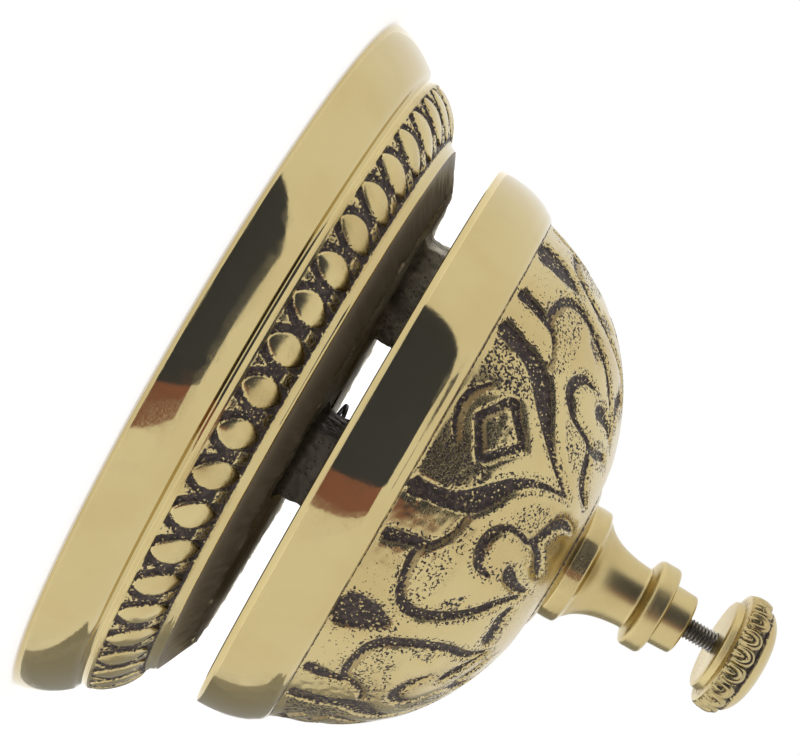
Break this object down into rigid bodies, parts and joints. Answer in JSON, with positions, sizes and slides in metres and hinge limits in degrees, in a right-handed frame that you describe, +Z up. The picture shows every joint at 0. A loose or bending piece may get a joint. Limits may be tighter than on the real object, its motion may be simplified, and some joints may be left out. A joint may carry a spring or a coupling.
{
  "type": "service bell",
  "caption": "Counter bell with a round footed base, a hanging dome-shaped bell and a press knob on top that swings a striker inside the bell.",
  "frame": {"origin": "centre of the foot of the base, on the surface it stands on", "axes": "+Z up along the axis of the bell, the rod and the knob; the front leg that carries the bell is on the -Y side, the back leg lies 63 degrees from +X towards +Y, and the striker leg is on the -X side"},
  "size_m": [0.1, 0.1, 0.0836],
  "materials": {
    "cast_brass": "turned and polished rim, dark patina in the leaf band, rough as cast on top",
    "bell_brass": "polished relief with dark patina in its ground",
    "finial_brass": "turned and polished",
    "knob_brass": "polished with dark patina in the beading",
    "bridge_brass": "as cast, dull",
    "post_brass": "turned and threaded",
    "nut_brass": "turned, slightly tarnished",
    "collar_brass": "turned, slightly tarnished",
    "lever_brass": "sawn sheet, tarnished",
    "striker_brass": "turned, bruised at the crown",
    "bush_bronze": "turned bronze",
    "rod_steel": "threaded, dark and oily",
    "pin_steel": "ground",
    "screw_steel": "slotted, blackened",
    "clip_steel": "sprung, oily",
    "washer_steel": "stamped",
    "spring_wire": "drawn spring wire",
    "fibre_washer": "pressed red-brown fibre"
  },
  "bodies": {
    "frame": {"base_casting": "cast_brass", "guide_bush": "bush_bronze", "spring_seat": "washer_steel", "bridge_bar": "bridge_brass", "bridge_screws": "screw_steel", "bell_post": "post_brass", "post_lock_nut": "nut_brass", "seat_nut": "nut_brass", "seat_washer": "fibre_washer", "bell_dome": "bell_brass", "finial": "finial_brass", "pivot_pin": "pin_steel", "pivot_clips": "clip_steel"},
    "plunger": {"plunger_rod": "rod_steel", "knob": "knob_brass", "upper_collar": "collar_brass", "lower_collar": "collar_brass", "collar_screws": "screw_steel", "spring_cap": "washer_steel", "return_spring": "spring_wire"},
    "striker": {"striker_lever": "lever_brass", "lever_bush": "bush_bronze", "striker_head": "striker_brass", "striker_nut": "nut_brass"}
  },
  "joints": [
    {"name": "knob_press", "type": "slide", "parent": "frame", "child": "plunger", "axis": [0, 0, -1], "range_m": [0, 0.0035], "stiffness_N_per_m": 400, "springref_m": -0.003, "deforming": ["return_spring"]},
    {"name": "striker_swing", "type": "hinge", "parent": "frame", "child": "striker", "pos_m": [-0.0206, 0, 0.0285], "axis": [0, 1, 0], "range_deg": [0, 9.9]}
  ],
  "couplings": [
    {"joint": "striker_swing", "follows": "knob_press", "rad_per_m": 48.786}
  ]
}
